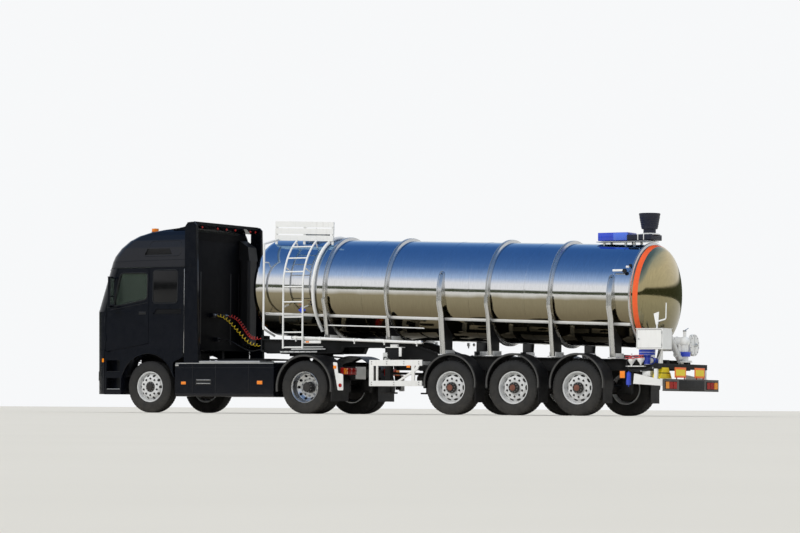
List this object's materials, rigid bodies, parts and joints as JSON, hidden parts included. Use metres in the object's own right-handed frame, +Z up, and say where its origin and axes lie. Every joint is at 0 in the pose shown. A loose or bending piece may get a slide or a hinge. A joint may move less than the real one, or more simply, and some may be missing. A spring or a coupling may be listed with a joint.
{
  "type": "articulated tanker lorry",
  "caption": "Sleeper-cab tractor unit coupled at its kingpin to a polished round tank semi-trailer with a rear outlet.",
  "frame": {"origin": "on the ground at the middle of the whole lorry's outline", "axes": "-X forward, +Y to the right side seen from behind, +Z up"},
  "size_m": [12.87, 2.974, 3.8523],
  "materials": {
    "cab_paint": "gloss dark blue-black paint",
    "chassis_paint": "satin black chassis paint",
    "white_paint": "white paint",
    "blue_paint": "bright blue paint",
    "polished_steel": "mirror-polished stainless steel",
    "rim_metal": "bright wheel metal",
    "tyre": "tyre rubber",
    "black_plastic": "black plastic",
    "glass": "tinted window glass",
    "lamp_red": "red and amber lamp lens",
    "lamp_clear": "clear and amber lamp lens",
    "seat_cloth": "dark grey cloth",
    "yellow_hose": "yellow hose",
    "red_hose": "red hose",
    "black_cable": "black cable"
  },
  "bodies": {
    "tractor": {"tractor_frame": "chassis_paint", "engine_block": "chassis_paint", "tractor_axles": "chassis_paint", "fifth_wheel": "chassis_paint", "bumper": "cab_paint", "tractor_lamps": "lamp_clear", "cab_shell": "cab_paint", "front_panel": "cab_paint", "cab_roof": "cab_paint", "windscreen": "glass", "side_fairings": "cab_paint", "front_wings": "cab_paint", "side_skirts": "cab_paint", "drive_fenders": "black_plastic", "seats": "seat_cloth", "dashboard": "black_plastic", "intake_stack": "black_plastic", "yellow_coil": "yellow_hose", "red_coil": "red_hose", "power_cable": "black_cable"},
    "trailer": {"trailer_frame": "chassis_paint", "tank_shell": "polished_steel", "tank_cradles": "white_paint", "trailer_axles": "chassis_paint", "trailer_fenders": "black_plastic", "side_guards": "white_paint", "access_frame": "white_paint", "docking_funnel": "blue_paint", "rear_cabinet": "white_paint", "pipework": "white_paint", "rear_bumper": "white_paint", "trailer_lamps": "lamp_red"},
    "manhole_lid": {"manhole_lid": "polished_steel"},
    "left_door": {"left_door": "cab_paint", "left_door_glass": "glass"},
    "left_knuckle": {"left_knuckle": "chassis_paint"},
    "front_left_wheel": {"front_left_tyre": "tyre", "front_left_rim": "rim_metal"},
    "drive_left_wheel": {"drive_left_tyres": "tyre", "drive_left_rim": "rim_metal"},
    "trailer_left_wheel_1": {"trailer_left_tyre_1": "tyre", "trailer_left_rim_1": "rim_metal"},
    "trailer_left_wheel_2": {"trailer_left_tyre_2": "tyre", "trailer_left_rim_2": "rim_metal"},
    "trailer_left_wheel_3": {"trailer_left_tyre_3": "tyre", "trailer_left_rim_3": "rim_metal"},
    "right_door": {"right_door": "cab_paint", "right_door_glass": "glass"},
    "right_knuckle": {"right_knuckle": "chassis_paint"},
    "front_right_wheel": {"front_right_tyre": "tyre", "front_right_rim": "rim_metal"},
    "drive_right_wheel": {"drive_right_tyres": "tyre", "drive_right_rim": "rim_metal"},
    "trailer_right_wheel_1": {"trailer_right_tyre_1": "tyre", "trailer_right_rim_1": "rim_metal"},
    "trailer_right_wheel_2": {"trailer_right_tyre_2": "tyre", "trailer_right_rim_2": "rim_metal"},
    "trailer_right_wheel_3": {"trailer_right_tyre_3": "tyre", "trailer_right_rim_3": "rim_metal"}
  },
  "joints": [
    {"name": "kingpin", "type": "hinge", "parent": "tractor", "child": "trailer", "pos_m": [-1.915, 0, 1.15], "axis": [0, 0, 1], "range_deg": [-90, 90], "deforming": ["yellow_coil", "red_coil", "power_cable"]},
    {"name": "manhole_lid_hinge", "type": "hinge", "parent": "trailer", "child": "manhole_lid", "pos_m": [-1.55021, 0, 3.62291], "axis": [0, 1, 0], "range_deg": [0, 110]},
    {"name": "left_door_hinge", "type": "hinge", "parent": "tractor", "child": "left_door", "pos_m": [-6.065, -1.246, 1.9], "axis": [0, 0, -1], "range_deg": [0, 75]},
    {"name": "steer_left", "type": "hinge", "parent": "tractor", "child": "left_knuckle", "pos_m": [-5.035, -0.86, 0.522], "axis": [0, 0, 1], "range_deg": [-38, 38]},
    {"name": "front_left_spin", "type": "hinge", "parent": "left_knuckle", "child": "front_left_wheel", "pos_m": [-5.035, -1.03, 0.522], "axis": [0, 1, 0], "continuous": true},
    {"name": "drive_left_spin", "type": "hinge", "parent": "tractor", "child": "drive_left_wheel", "pos_m": [-1.335, -0.918, 0.522], "axis": [0, 1, 0], "continuous": true},
    {"name": "trailer_left_spin_1", "type": "hinge", "parent": "trailer", "child": "trailer_left_wheel_1", "pos_m": [1.928, -1.045, 0.522], "axis": [0, 1, 0], "continuous": true},
    {"name": "trailer_left_spin_2", "type": "hinge", "parent": "trailer", "child": "trailer_left_wheel_2", "pos_m": [3.278, -1.045, 0.522], "axis": [0, 1, 0], "continuous": true},
    {"name": "trailer_left_spin_3", "type": "hinge", "parent": "trailer", "child": "trailer_left_wheel_3", "pos_m": [4.628, -1.045, 0.522], "axis": [0, 1, 0], "continuous": true},
    {"name": "right_door_hinge", "type": "hinge", "parent": "tractor", "child": "right_door", "pos_m": [-6.065, 1.246, 1.9], "axis": [0, 0, 1], "range_deg": [0, 75]},
    {"name": "steer_right", "type": "hinge", "parent": "tractor", "child": "right_knuckle", "pos_m": [-5.035, 0.86, 0.522], "axis": [0, 0, 1], "range_deg": [-38, 38]},
    {"name": "front_right_spin", "type": "hinge", "parent": "right_knuckle", "child": "front_right_wheel", "pos_m": [-5.035, 1.03, 0.522], "axis": [0, 1, 0], "continuous": true},
    {"name": "drive_right_spin", "type": "hinge", "parent": "tractor", "child": "drive_right_wheel", "pos_m": [-1.335, 0.918, 0.522], "axis": [0, 1, 0], "continuous": true},
    {"name": "trailer_right_spin_1", "type": "hinge", "parent": "trailer", "child": "trailer_right_wheel_1", "pos_m": [1.928, 1.045, 0.522], "axis": [0, 1, 0], "continuous": true},
    {"name": "trailer_right_spin_2", "type": "hinge", "parent": "trailer", "child": "trailer_right_wheel_2", "pos_m": [3.278, 1.045, 0.522], "axis": [0, 1, 0], "continuous": true},
    {"name": "trailer_right_spin_3", "type": "hinge", "parent": "trailer", "child": "trailer_right_wheel_3", "pos_m": [4.628, 1.045, 0.522], "axis": [0, 1, 0], "continuous": true}
  ],
  "couplings": [
    {"joint": "steer_right", "follows": "steer_left", "ratio": 1}
  ]
}
